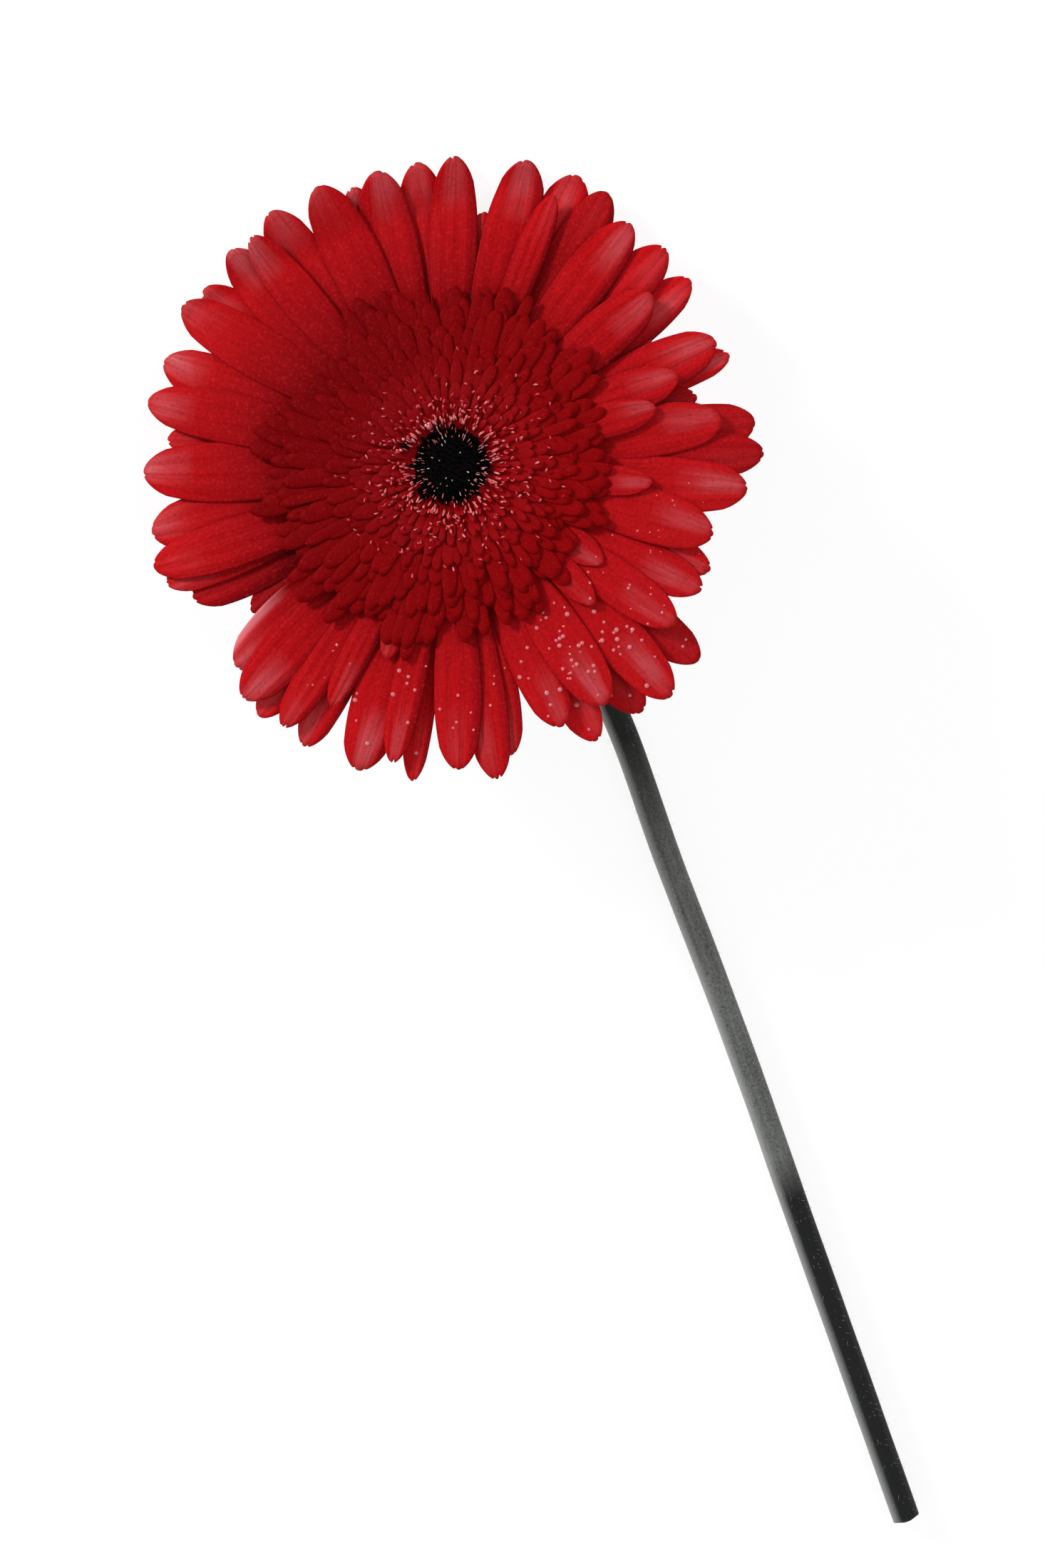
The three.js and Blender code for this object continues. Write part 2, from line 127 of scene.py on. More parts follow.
def ray_height(layer, reach):
    """Petals rise from the root to their crest and droop beyond it, the back ones most."""
    inwards = np.clip((RAY_CREST - reach) / (RAY_CREST - RAY_ROOT), 0, None)
    outwards = np.clip((reach - RAY_CREST) / (RAY_DROOPED - RAY_CREST), 0, None)
    droop = RAY_DROOP - RAY_DROOP_LESS * layer
    return RAY_CREST_HEIGHT + layer * RAY_LAYER - RAY_DIP * inwards**2 - droop * outwards**2


def ray_floret(clock, reach, width, layer, rng):
    """One petal as a sheet: its front and back faces, each rows of places from root to tip."""
    across = np.linspace(-1, 1, RAY_COLUMNS)[None, :]
    share = np.linspace(0, 1, RAY_ROWS)[:, None]
    short = RAY_BLUNT * (1 - np.sqrt(1 - 0.97 * np.abs(across) ** 2.2))
    middles = [rng.uniform(*span) for span, _ in RAY_NOTCHES]
    for middle, (_, deepest) in zip(middles, RAY_NOTCHES):
        notch = np.clip(1 - np.abs(across - middle) / NOTCH_WIDE, 0, 1) ** 1.4
        short = short + rng.uniform(0, deepest) * notch
    along = RAY_ROOT + (reach - short - RAY_ROOT) * share
    done = (along - RAY_ROOT) / (reach - RAY_ROOT)
    opening = np.sin(np.pi / 2 * np.clip(done / RAY_WIDEST, 0, 1)) ** 1.25
    closing = np.clip((done - RAY_WIDEST) / (1 - RAY_WIDEST), 0, 1) ** 2
    half = width / 2 * (RAY_WAIST + (1 - RAY_WAIST) * opening - RAY_TAPER * closing)
    aside = across * half + rng.normal(0, RAY_SWAY) * 4 * done * (1 - done)
    spoon = np.clip((done - 0.15) / 0.6, 0, 1)
    height = ray_height(layer, along) + RAY_LIFT + rng.uniform(-RAY_UNEVEN, RAY_UNEVEN)
    height = height - RAY_SPOON * spoon * across**2 + rng.normal(0, RAY_TILT) * aside
    height = height + RAY_CREASE * np.cos(3.4 * np.pi * across + rng.uniform(-1, 1)) * spoon
    ripple = np.sin(along * 0.36 + rng.uniform(0, 6.28) + 1.5 * across)
    height = height + RAY_RIPPLE * ripple * across**2
    if clock == CURLED:
        edge = np.clip((across - 0.5) / 0.5, 0, 1)
        height = height + CURL_HEIGHT * edge**2 * np.sin(np.pi * done) ** 2
    thick = RAY_THICK * (1 - 0.6 * across**4) * (1 - 0.5 * done**6)
    level = layer * RAY_LAYER
    curl_highlight_mask = np.clip((across - 0.6) / 0.3, 0, 1) * np.clip((done - 0.6) / 0.15, 0, 1)
    return {
        "front": pressed(in_bloom(clock, along, height + thick, aside), level + RAY_THICK),
        "back": pressed(in_bloom(clock, along, height, aside), level),
        "along": done,
        "across": across,
        "reach": along / MARKED_REACH,
        "tone": rng.uniform(0, 1),
        "layer": layer,
        "shaded": away_from_light(clock),
        # marks for the painted shadow on the edge away from the light, the painted shade of the
        # darker petals and the painted highlight of the curled edge
        "lee": across * np.sin(np.radians(clock - LIT_CLOCK)),
        "dusk": clock in SHADOWED_PETALS,
        "curl": (clock == CURLED) * curl_highlight_mask,
    }


def sheet_piece(name, sheets, node, slot):
    """One piece made of thin closed sheets, with what each sheet says of its places."""
    places, faces = [], []
    marks = {key: [] for key in sheets[0] if key not in ("front", "back")}
    for sheet in sheets:
        rows, columns = sheet["front"].shape[:2]
        front = np.arange(rows * columns).reshape(rows, columns) + sum(map(len, places))
        back = front + rows * columns
        for grid, turned in ((front, False), (back, True)):
            corners = [grid[:-1, :-1], grid[:-1, 1:], grid[1:, 1:], grid[1:, :-1]]
            quads = np.stack(corners, -1).reshape(-1, 4)
            faces.append(quads[:, ::-1] if turned else quads)
        rim = np.concatenate([front[0], front[1:, -1], front[-1, -2::-1], front[-2:0:-1, 0]])
        after = np.roll(rim, -1)
        faces.append(np.stack([after, rim, rim + rows * columns, after + rows * columns], -1))
        places += [sheet["front"].reshape(-1, 3), sheet["back"].reshape(-1, 3)]
        for key, values in marks.items():
            values += [np.broadcast_to(sheet[key], (rows, columns)).ravel()] * 2
    return piece_of(name, places, faces, marks, node, slot)


def piece_of(name, places, faces, marks, node, slot):
    """One mesh from places in millimetres, blocks of faces, and a value per place and mark."""
    mesh = bpy.data.meshes.new(name)
    corners = (np.concatenate(places) * MM).tolist()
    mesh.from_pydata(corners, [], [face.tolist() for block in faces for face in block])
    for key, values in marks.items():
        mark = mesh.attributes.new(key, "FLOAT", "POINT")
        mark.data.foreach_set("value", np.concatenate(values).astype(np.float32))
    mesh.shade_smooth()
    piece = bpy.data.objects.new(name, mesh)
    bpy.context.collection.objects.link(piece)
    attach(piece, "root")
    if node:
        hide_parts(node)
    return piece


def walls_of(grid, turned=False):
    """The faces that join closed rings of places, each row of the grid one ring."""
    after = np.roll(grid, -1, 1)
    corners = [grid[:-1], grid[1:], after[1:], after[:-1]]
    if turned:
        corners = [corners[0], *corners[:0:-1]]
    return np.stack(corners, -1).reshape(-1, 4)


def lathed(profile, sides, marks):
    """A round body on the bloom's axis from (reach, height) points that start and end on it."""
    clock = np.arange(sides)[None, :] * 360 / sides
    reach, height = (np.array(values)[:, None] for values in zip(*profile[1:-1]))
    rings = in_bloom(clock, reach, height)
    ends = in_bloom(0, np.zeros(2), np.array([profile[0][1], profile[-1][1]]))
    count = len(rings) * sides
    grid = np.arange(count).reshape(-1, sides)
    after = np.roll(grid, -1, 1)
    caps = [(count, near, far) for near, far in zip(grid[0], after[0])]
    caps += [(count + 1, far, near) for near, far in zip(grid[-1], after[-1])]
    filled = {key: [np.full(count + 2, value)] for key, value in marks.items()}
    return [rings.reshape(-1, 3), ends], [walls_of(grid), np.array(caps)], filled


class Wire:
    """A socket in a finish. Arithmetic on wires adds Math nodes."""

    def __init__(self, finish, socket):
        self.finish = finish
        self.socket = socket

    def maths(self, operation, *values):
        return self.finish.add("Math", {"operation": operation}, dict(enumerate(values)))

    def __add__(self, other):
        return self.maths("ADD", self, other)

    def __sub__(self, other):
        return self.maths("SUBTRACT", self, other)

    def __rsub__(self, other):
        return self.maths("SUBTRACT", other, self)

    def __mul__(self, other):
        return self.maths("MULTIPLY", self, other)

    def __mod__(self, other):
        return self.maths("MODULO", self, other)

    __radd__ = __add__
    __rmul__ = __mul__

    def between(self, low, high):
        """0 up to low, 1 from high, and an even rise from one to the other."""
        return self.finish.add("MapRange", {"clamp": True}, {0: self, 1: low, 2: high})


class Finish:
    """A material whose shader is fed by name."""

    def __init__(self, name):
        self.material = bpy.data.materials.new(name)
        self.material.use_nodes = True
        self.tree = self.material.node_tree
        self.shader = self.tree.nodes["Principled BSDF"]

    def add(self, kind, settings, sockets, output=0):
        node = self.tree.nodes.new("ShaderNode" + kind)
        for key, value in settings.items():
            setattr(node, key, value)
        for key, value in sockets.items():
            self.feed(node.inputs[key], value)
        return Wire(self, node.outputs[output])

    def feed(self, socket, value):
        if isinstance(value, Wire):
            self.tree.links.new(value.socket, socket)
        else:
            socket.default_value = value

    def mark(self, name):
        """The value that piece_of stored at each place under this name."""
        return self.add("Attribute", {"attribute_name": name}, {}, "Fac")

    def place(self):
        return self.add("TexCoord", {}, {}, "Object")

    def vector(self, x, y, z=0):
        return self.add("CombineXYZ", {}, {0: x, 1: y, 2: z})

    def mix(self, factor, a, b):
        return self.add("Mix", {"data_type": "RGBA"}, {0: factor, 6: a, 7: b}, 2)

    def noise(self, scale, detail, vector=None):
        sockets = {"Vector": vector or self.place(), "Scale": scale, "Detail": detail}
        return self.add("TexNoise", {}, sockets)

    def bump(self, height, strength, distance):
        sockets = {"Strength": strength, "Distance": distance, "Height": height}
        self.feed(self.shader.inputs["Normal"], self.add("Bump", {}, sockets))

    def looks(self, **sockets):
        for key, value in sockets.items():
            self.feed(self.shader.inputs[key.replace("_", " ")], value)

    def on(self, *pieces):
        for piece in pieces:
            piece.data.materials.clear()
            piece.data.materials.append(self.material)


def colour(code):
    """The linear colour of a six-digit sRGB code."""
    parts = [int(code[i : i + 2], 16) / 255 for i in (0, 2, 4)]
    return (*(p / 12.92 if p <= 0.04045 else ((p + 0.055) / 1.055) ** 2.4 for p in parts), 1)


def petal_finish():
    """Streaked red, with a painted pinkish sheen near the tip and painted shade at the root, the
    edges and the side away from the light.
    """
    finish = Finish("petal_red")
    along, across, reach = (finish.mark(name) for name in ("along", "across", "reach"))
    tone, layer, shaded = (finish.mark(name) for name in ("tone", "layer", "shaded"))
    dusk = finish.mark("dusk")
    streaks = finish.noise(1.4, 3, finish.vector(across * 5, along * 3, tone * 40))
    patches = finish.noise(120, 2)
    nap = finish.noise(1900, 2)
    red = finish.mix(streaks.between(0.3, 0.75), colour("ac0b10"), colour("bd1016"))
    red = finish.mix(patches.between(0.4, 0.75) * 0.3, red, colour("a0090e"))
    # painted light: the back layers are made brighter to offset the shade that the layers above cast
    # on them
    red = finish.mix(layer.between(1.6, 0) * 0.4, red, colour("d0161c"))

    # Painted sheen: a pale pink patch near each tip stands in for a highlight, strongest on the side
    # towards the light; the same mask lays a clear coat there.
    middle = across + (tone - 0.5) * 0.6
    near_middle = (1 - middle * middle * (1.4 + 2 * shaded)).between(0, 1)
    short_of_end = 1 - along.between(0.95, 1) * shaded
    oval = (along + 0.12 * shaded).between(0.79, 0.95) * short_of_end * near_middle
    its_own = (tone * 7.3 % 1).between(-0.2, 0.7)
    painted_sheen_and_coat = oval * its_own * (0.4 + 0.6 * streaks.between(0.3, 0.6))
    painted_sheen_and_coat = painted_sheen_and_coat * patches.between(0.2, 0.55) * (1 - dusk * 0.8)
    painted_sheen_and_coat = painted_sheen_and_coat + along.between(0.3, 0.8) * shaded.between(0.6, 1) * 0.03
    red = finish.mix(painted_sheen_and_coat * (0.56 - 0.16 * shaded), red, colour("c2626a"))

    # Painted shade: darker near the root under the ring's edge, along the edges, along the edge away
    # from the light, over the darker back petals, and on the side towards the light.
    root_shade = (1 - (reach + 0.08 * shaded).between(0.55, 0.95)) * (0.6 - 0.34 * shaded)
    edge_shade = (across * across).between(0.7, 1.05) * (0.06 + 0.14 * shaded)
    lee = finish.mark("lee").between(0.45, 0.95) * along.between(0.2, 0.5)
    painted_shade = dusk * 0.36 + root_shade + edge_shade + lee * (0.45 + 0.25 * shaded)
    painted_shade = painted_shade + (1 - shaded) * (0.18 - 0.06 * along.between(0.6, 0.9))
    red = finish.mix(painted_shade, red, colour("640207"))

    red = finish.mix(nap.between(0.55, 0.75) * 0.3, red, colour("d2262c"))
    red = finish.mix(nap.between(0.45, 0.25) * 0.35, red, colour("5e0105"))
    # painted highlight along the curled-up edge
    red = finish.mix(finish.mark("curl") * 0.75, red, colour("dc8288"))
    finish.looks(Base_Color=red, Roughness=0.5 + 0.2 * streaks)
    finish.looks(Coat_Weight=painted_sheen_and_coat * 0.3, Coat_Roughness=0.45)
    finish.looks(Specular_IOR_Level=0.03)
    veins = finish.add("Math", {"operation": "SINE"}, {0: across * 34 + streaks * 5})
    finish.bump(veins * 0.4 + streaks * 0.9 + patches + nap * 0.6, 0.3, 0.0001)
    return finish


petal_red = petal_finish()
rng = np.random.default_rng(7)
rays = [ray_floret(*floret, rng) for floret in RAY_FLORETS]
for depth, name in enumerate(("back", "second", "third", "front", "short")):
    group = [ray for ray, floret in zip(rays, RAY_FLORETS) if floret[3] == depth]
    petal_red.on(sheet_piece(f"ray_florets_{name}", group, "ray_florets", "petal_red"))
# middling marks, so the receptacle takes part of the petals' painted shade
core_marks = {
    "along": 0, "across": 0, "reach": 0, "tone": 0.5, "layer": 1,
    "shaded": 0.5, "lee": 0, "dusk": 0.5, "curl": 0,
}
core = lathed(RAY_CORE, CORE_SIDES, core_marks)
petal_red.on(piece_of("ray_receptacle", *core, "ray_florets", "petal_red"))

# ---------------------------------------------------------------------------------------
# Trans florets: the short dark crimson petals of the ring round the eye, in rows that
# stand up more and get smaller towards the middle. They grow from the receptacle's dome,
# which shows as a dark bed between the innermost ones.
# ---------------------------------------------------------------------------------------

# the reach of the ring's outline, every 15 degrees from the top
RING_REACH = [
    32.0, 33.5, 31.6, 32.5, 29.1, 28.3, 31.0, 29.8, 26.3, 28.5, 31.0, 29.5,
    31.0, 35.1, 33.7, 34.7, 34.1, 35.3, 36.4, 33.7, 30.8, 32.0, 34.1, 31.0,
]
RING_STEP = 15
# (how many, width, root, tip, follows), root and tip as (reach, height). In a row that
# follows the ring's outline, the tip's reach is a share of the ring's at that clock angle
TRANS_ROWS = [
    (72, 3.1, (10, 3.75), (1.0, 3.0), True),
    (72, 3.0, (9.6, 4.3), (0.92, 3.5), True),
    (70, 2.7, (9.3, 4.8), (0.83, 4.0), True),
    (66, 2.4, (9, 5.1), (22.6, 4.6), False),
    (60, 2.1, (8.6, 5.4), (19.2, 5.2), False),
    (54, 1.8, (8.2, 5.6), (16, 5.8), False),
    (48, 1.4, (7.8, 5.8), (13, 6.35), False),
    (42, 1.1, (7.2, 6.0), (10.4, 6.9), False),
]
TRANS_COLUMNS, TRANS_POINTS = 9, 14  # places across and along each face
TRANS_THICK = 0.2
TRANS_WIDEST = 0.7
TRANS_WAIST = 0.4
TRANS_TURN = 0.13  # how far each row is turned on, besides half a step for every other row
TRANS_UNEVEN = 1.2  # degrees
DOME = [
    (0, 2.0), (12.6, 2.0), (12.6, 4.4), (11, 5.4), (9, 6.2),
    (6.5, 6.5), (6.3, 6.3), (6.3, 4.05), (0, 4.05),
]


def ring_reach(clock):
    return np.interp(clock % 360, np.arange(0, 361, RING_STEP), RING_REACH + RING_REACH[:1])


def trans_floret(clock, width, root, tip, follows, rng):
    """One floret of the ring as a sheet, as a ray floret is, with a rounded end."""
    across = np.linspace(-1, 1, TRANS_COLUMNS)[None, :]
    share = np.linspace(0, 1, TRANS_POINTS)[:, None]
    width = width * rng.uniform(0.7, 1.25)
    reach = (tip[0] * ring_reach(clock) if follows else tip[0]) * rng.uniform(0.86, 1.03)
    short = 1.15 * width * (1 - np.sqrt(1 - 0.96 * np.abs(across) ** 1.9))
    along = root[0] + (reach - short - root[0]) * share
    done = (along - root[0]) / (reach - root[0])
    opening = np.sin(np.pi / 2 * np.clip(done / TRANS_WIDEST, 0, 1))
    half = width / 2 * (TRANS_WAIST + (1 - TRANS_WAIST) * opening)
    aside = across * half + rng.normal(0, 0.4) * done**2 * width / 2
    height = root[1] + (tip[1] - root[1]) * done**0.8 + rng.uniform(-0.06, 0.08)
    height = height - 0.04 * width * across**2 * done + rng.normal(0, 0.04) * aside
    thick = TRANS_THICK * (1 - 0.8 * across**4)
    return {
        "front": in_bloom(clock, along, height + thick, aside),
        "back": in_bloom(clock, along, height, aside),
        "along": done,
        "across": across,
        "tone": rng.uniform(0, 1),
        "reach": along,
        "shaded": away_from_light(clock),
    }


def floret_finish():
    """Streaked crimson, painted darker on the side towards the light, with paler tips round the eye
    that are partly a painted highlight.
    """
    finish = Finish("floret_crimson")
    along, across, tone = (finish.mark(name) for name in ("along", "across", "tone"))
    reach, shaded = finish.mark("reach"), finish.mark("shaded")
    streaks = finish.noise(2, 3, finish.vector(across * 4, along * 3, tone * 40))
    nap = finish.noise(2400, 1)
    crimson = finish.mix(streaks.between(0.3, 0.7), colour("820306"), colour("8c0408"))
    # random tone, and painted shade on the side of the ring towards the light
    crimson = finish.mix(tone * 0.2 + (1 - shaded) * 0.75, crimson, colour("650003"))
    # paler tips near the eye: partly their own paler red, partly a painted highlight where they
    # catch the light
    paler_tips_and_glint = reach.between(19, 8) * along.between(0.4, 1)
    crimson = finish.mix(paler_tips_and_glint * 0.55, crimson, colour("a81922"))
    crimson = finish.mix(nap.between(0.58, 0.8) * 0.4, crimson, colour("a81a20"))
    crimson = finish.mix(nap.between(0.42, 0.2) * 0.35, crimson, colour("3a0002"))
    finish.looks(Base_Color=crimson, Roughness=0.55 + 0.15 * streaks)
    finish.looks(Specular_IOR_Level=0.03)
    finish.bump(streaks * 1.2 + across * across + nap * 0.6, 0.3, 0.0001)
    return finish


floret_crimson = floret_finish()
for row, (count, *shape) in enumerate(TRANS_ROWS):
    steps = np.arange(count) + row % 2 / 2 + TRANS_TURN * row
    clocks = steps * 360 / count + rng.normal(0, TRANS_UNEVEN, count)
    sheets = [trans_floret(clock, *shape, rng) for clock in clocks]
    ring = sheet_piece(f"trans_florets_{row + 1}", sheets, "trans_florets", "floret_crimson")
    floret_crimson.on(ring)
# the dome takes a dark tone and the painted shade of the side towards the light, so it shows dark
# between the florets
dome_marks = {"along": 0, "across": 0, "tone": 0.9, "reach": 30, "shaded": 0}
dome = lathed(DOME, CORE_SIDES, dome_marks)
floret_crimson.on(piece_of("receptacle_dome", *dome, "trans_florets", "floret_crimson"))

# ---------------------------------------------------------------------------------------
# Disc florets: the eye, a close-packed round of black buds that are still shut, with a
# few pale points. Pinkish bristles and style tips stand round its rim and get fewer
# outwards over the ring.
# ---------------------------------------------------------------------------------------

EYE_RADIUS, EYE_BOTTOM, EYE_TOP = 6.0, 4.35, 6.3
EYE_BED = [
    (0, EYE_BOTTOM), (EYE_RADIUS, EYE_BOTTOM), (EYE_RADIUS, EYE_TOP - 0.8),
    (5.2, EYE_TOP - 0.2), (3.5, EYE_TOP), (0, EYE_TOP),
]
EYE_BED_SIDES = 48
EYE_BUDS, EYE_BUD_RADIUS, EYE_BUD_LENGTH = 150, 0.3, 1.7
GOLDEN = 137.508  # degrees from one bud to the next
RIM_BUDS, RIM_BUD_LENGTH = 64, 1.75
# (clock angles, reaches, how many) of the two places where the rim's buds stand thicker
RIM_CLUMPS = [((215, 255), (6.2, 7.2), 12), ((335, 352), (6.2, 7.0), 6)]
STRAY_BUDS = [(291, 8.0), (294, 8.4), (290, 8.7), (296, 8.1), (292, 8.3)]
PALE_STYLES = [(329, 7.5), (331, 7.9), (327, 7.9), (298, 9.2), (286, 8.9)]
RIM_BRISTLES = 130
STYLES, STYLES_FROM, STYLES_SPREAD, STYLES_FARTHEST = 380, 6.9, 3.9, 13
NEAR_STYLES = 1.6  # how far out the longer, straighter styles of the rim reach
POINTS = 18
# (reach, height) of the top of the florets round the eye
CROWN = [(0, 6.9), (6, 6.9), (7, 7.0), (10, 7.2), (13, 6.7), (18, 5.75), (24, 4.9), (34, 3.5)]


def spindle_piece(name, spindles, profile, sides, node, slot):
    """One piece made of small round pointed bodies, each (foot, top, radius, tone), which
    follow a profile of (share of the length, share of the radius)."""
    places, faces, tones, count = [], [], [], 0
    turns = np.arange(sides) * 2 * np.pi / sides
    for foot, top, radius, tone in spindles:
        axis = (top - foot) / np.linalg.norm(top - foot)
        aside = np.cross(axis, SIDE if abs(axis[0]) < 0.8 else OUT)
        aside = aside / np.linalg.norm(aside)
        third = np.cross(axis, aside)
        ring = np.cos(turns)[:, None] * aside + np.sin(turns)[:, None] * third
        rings = [foot + (top - foot) * share + ring * radius * wide for share, wide in profile]
        grid = np.arange(len(profile) * sides).reshape(-1, sides) + count
        faces += [walls_of(grid, turned=True), [grid[0, ::-1], grid[-1]]]
        places += rings
        tones.append(np.full(grid.size, tone))
        count += grid.size
    return piece_of(name, places, faces, {"tone": tones}, node, slot)


def crown_height(reach):
    return np.interp(reach, *zip(*CROWN))


def grained(name, scale, detail, dark, light, rough, spread=(0, 1), bump=0):
    """A finish of two near colours mixed by a grain, which also makes it uneven in gloss."""
    finish = Finish(name)
    grain = finish.noise(scale, detail)
    finish.looks(Base_Color=finish.mix(grain.between(*spread), colour(dark), colour(light)))
    finish.looks(Roughness=rough[0] + rough[1] * grain)
    if bump:
        finish.bump(grain, bump, 0.0001)
    return finish


def style_finish():
    """From red to a pale pink by each body's tone, with a darker grain."""
    finish = Finish("style_pink")
    grain = finish.noise(1500, 2)
    pink = finish.mix(finish.mark("tone"), colour("cf2833"), colour("eebab6"))
    pink = finish.mix(grain.between(0.35, 0.7) * 0.3, pink, colour("c2414a"))
    finish.looks(Base_Color=pink, Roughness=0.4 + 0.2 * grain)
    finish.bump(grain, 0.2, 0.0001)
    return finish


eye_black = grained("eye_black", 900, 2, "030202", "0a0505", (0.6, 0.3), (0.4, 0.8), bump=0.4)
eye_black.looks(Specular_IOR_Level=0.04)
bed = lathed(EYE_BED, EYE_BED_SIDES, {})
eye_black.on(piece_of("eye_bed", *bed, "disc_florets", "eye_black"))

buds = []
for i in range(EYE_BUDS):
    reach = (EYE_RADIUS - EYE_BUD_RADIUS) * math.sqrt((i + 0.5) / EYE_BUDS)
    clock = i * GOLDEN
    foot = in_bloom(clock, reach, EYE_TOP - 0.9)
    top = foot + EYE_BUD_LENGTH * OUT + 0.09 * reach * towards(clock) + 0.1 * rng.normal(size=3)
    buds.append((foot, top, EYE_BUD_RADIUS, 0))
rim = []
for clock in np.arange(RIM_BUDS) * 360 / RIM_BUDS:
    rim.append((clock + rng.normal(0, 3), rng.uniform(5.2, 6.7)))
for clocks, reaches, count in RIM_CLUMPS:
    rim += zip(rng.uniform(*clocks, count), rng.uniform(*reaches, count))
for clock, reach in rim + STRAY_BUDS:
    foot = in_bloom(clock, reach, crown_height(reach) - 1.2)
    top = foot + RIM_BUD_LENGTH * OUT + rng.uniform(0.3, 0.9) * towards(clock)
    buds.append((foot, top, rng.uniform(0.24, 0.4), 0))
bud_profile = [(0, 0.8), (0.45, 1), (0.8, 0.6), (1, 0.12)]
eye_black.on(spindle_piece("eye_buds", buds, bud_profile, 7, "disc_florets", "eye_black"))

style_pink = style_finish()
bristles = []
clocks, reaches = rng.uniform(0, 360, RIM_BRISTLES), rng.uniform(4.4, 6.8, RIM_BRISTLES)
for clock, reach in zip(clocks, reaches):
    foot = in_bloom(clock, reach, 6.9 + 0.15 * (reach - 5))
    tip = foot + rng.uniform(0.3, 0.8) * towards(clock + rng.normal(0, 8))
    tip = tip + rng.uniform(0.3, 0.6) * OUT
    bristles.append((foot, tip, rng.uniform(0.04, 0.08), rng.uniform(0.1, 0.8)))
for beyond in np.clip(rng.exponential(STYLES_SPREAD, STYLES), 0, STYLES_FARTHEST):
    reach = STYLES_FROM + beyond
    clock = rng.uniform(0, 360)
    near = max(0, 1 - (reach - STYLES_FROM) / NEAR_STYLES)
    foot = in_bloom(clock, reach, crown_height(reach) - 0.35)
    lean = towards(clock + rng.normal(0, 12 if near else 45))
    tip = foot + rng.uniform(0.4, 0.8 + 0.9 * near) * lean + rng.uniform(0.4, 0.7) * OUT
    pale = rng.uniform(0, 1) ** 2 * 0.4 + 0.35 * near * rng.uniform(0, 1) ** 2
    bristles.append((foot, tip, rng.uniform(0.1, 0.22), pale))
for clock, reach in PALE_STYLES:
    foot = in_bloom(clock, reach, crown_height(reach) - 0.3)
    bristles.append((foot, foot + 0.6 * OUT + 0.3 * towards(clock), 0.26, 0.7))
style_profile = [(0, 0.7), (0.5, 1), (0.85, 0.8), (1, 0.25)]
style_pink.on(spindle_piece("style_tips", bristles, style_profile, 6, None, "floret_crimson"))

cream = grained("eye_points", 1500, 2, "e9d9c4", "fff6e6", (0.4, 0.2), (0.35, 0.7))
points = []
for clock, reach in zip(rng.uniform(0, 360, POINTS), rng.uniform(2.0, 5.4, POINTS)):
    foot = in_bloom(clock, reach, EYE_TOP + 0.5)
    top = foot + 0.55 * OUT + rng.uniform(0.1, 0.5) * towards(clock)
    points.append((foot, top, rng.uniform(0.05, 0.1), 0))
point_profile = [(0, 0.7), (0.5, 1), (1, 0.3)]
cream.on(spindle_piece("eye_points", points, point_profile, 5, None, "eye_black"))

# ---------------------------------------------------------------------------------------
# Involucre: the cup behind the bloom that held the bud shut. It is a firm receptacle
# under three rows of narrow pointed bracts, each with a keel down its middle.
# ---------------------------------------------------------------------------------------

CUP = [
    (0, -15.6), (3.2, -15.6), (4.4, -14.6), (6.6, -13.6), (8.4, -12.4), (10.2, -10.9),
    (11.6, -9.2), (12.7, -7.4), (13.2, -6), (13.2, -4.35), (0, -4.35),
]
CUP_SIDES = 64
BRACT_COLUMNS, BRACT_POINTS = 9, 14  # places across and along each face
BRACT_THICK = 0.5
BRACT_UNEVEN = 0.15
# (how many, width, root, bulge and tip as (reach, height) of the inner face)
BRACT_ROWS = [
    (10, 4.8, (4.6, -13.4), (8.6, -13.0), (11.2, -10.9)),
    (13, 5.2, (8.2, -10.8), (12.6, -9.2), (14.9, -7.2)),
    (15, 5.2, (10.8, -7.8), (14.2, -6.0), (17.3, -3.2)),
]


def bract(clock, width, root, bulge, tip, rng):
    """One bract as a sheet that follows a curve from its root through its bulge to its tip."""
    across = np.linspace(-1, 1, BRACT_COLUMNS)[None, :]
    share = np.linspace(0, 1, BRACT_POINTS)[:, None]
    root = np.array(root)
    tip = np.array(tip) + rng.normal(0, BRACT_UNEVEN, 2)
    pull = 2 * np.array(bulge) - (root + tip) / 2
    reach, height = (
        (1 - share) ** 2 * root[i] + 2 * share * (1 - share) * pull[i] + share**2 * tip[i]
        for i in (0, 1)
    )
    belly = 0.6 + 0.4 * np.sin(np.pi * np.clip(share * 1.25, 0, 1))
    half = width / 2 * belly * (1 - share**2.6) ** 0.8 + 0.05
    turn = np.degrees(across * half / reach)
    keel = np.exp(-((across / 0.25) ** 2))
    thick = BRACT_THICK * (0.45 + 0.55 * keel) * (1 - 0.5 * share)
    droop = 0.25 * across**2 * share
    outer_reach = reach + thick * 0.7 - droop
    outer_height = height - thick * 0.7 - droop
    return {
        "back": in_bloom(clock + turn, outer_reach, outer_height),
        "front": in_bloom(clock + turn, reach - droop, height - droop),
        "along": share,
        "across": across,
    }


def bract_finish():
    """Fibrous grey-green with a paler mottle and darker tips."""
    finish = Finish("bract_green")
    along, across = finish.mark("along"), finish.mark("across")
    fibres = finish.noise(2.5, 3, finish.vector(across * 6, along * 2))
    mottle = finish.noise(300, 2)
    green = finish.mix(fibres.between(0.3, 0.7), colour("343833"), colour("565c53"))
    green = finish.mix(along.between(0.75, 1) * 0.6, green, colour("2b2a29"))
    green = finish.mix(mottle.between(0.5, 0.8) * 0.3, green, colour("6d7269"))
    finish.looks(Base_Color=green, Roughness=0.55 + 0.2 * mottle)
    finish.bump(fibres * 1.2 + mottle * 0.5, 0.4, 0.0002)
    return finish


